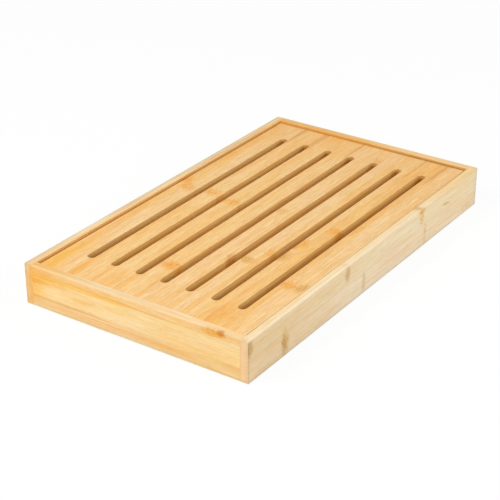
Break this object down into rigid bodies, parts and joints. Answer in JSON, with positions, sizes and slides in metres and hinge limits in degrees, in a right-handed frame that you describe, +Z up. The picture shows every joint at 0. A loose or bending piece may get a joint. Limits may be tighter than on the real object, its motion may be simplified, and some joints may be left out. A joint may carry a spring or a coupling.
{
  "type": "bread board with crumb catcher",
  "caption": "Bamboo bread board: a loose cutting board with lengthwise slots rests inside a shallow tray that catches the crumbs and is emptied by lifting the board out.",
  "frame": {"origin": "on the table, under the middle of the tray", "axes": "+Z up, +X along the length, towards the short side that lies farther from the viewer in the picture, +Y across, away from the long side that faces the viewer"},
  "size_m": [0.4, 0.236, 0.04],
  "materials": {
    "rail_bamboo": "satin",
    "inner_bamboo": "satin",
    "dowel_bamboo": "matte",
    "board_bamboo": "satin"
  },
  "bodies": {
    "tray": {"near_long_rail": "rail_bamboo", "far_long_rail": "rail_bamboo", "left_short_rail": "rail_bamboo", "right_short_rail": "rail_bamboo", "base_panel": "inner_bamboo", "near_ledger": "inner_bamboo", "far_ledger": "inner_bamboo", "left_ledger": "inner_bamboo", "right_ledger": "inner_bamboo", "dowel_near_left_lower": "dowel_bamboo", "dowel_near_left_upper": "dowel_bamboo", "dowel_near_right_lower": "dowel_bamboo", "dowel_near_right_upper": "dowel_bamboo", "dowel_far_left_lower": "dowel_bamboo", "dowel_far_left_upper": "dowel_bamboo", "dowel_far_right_lower": "dowel_bamboo", "dowel_far_right_upper": "dowel_bamboo"},
    "board": {"slotted_board": "board_bamboo"}
  },
  "joints": [
    {"name": "board_lift", "type": "slide", "parent": "tray", "child": "board", "axis": [0, 0, 1], "range_m": [0, 0.06]}
  ]
}
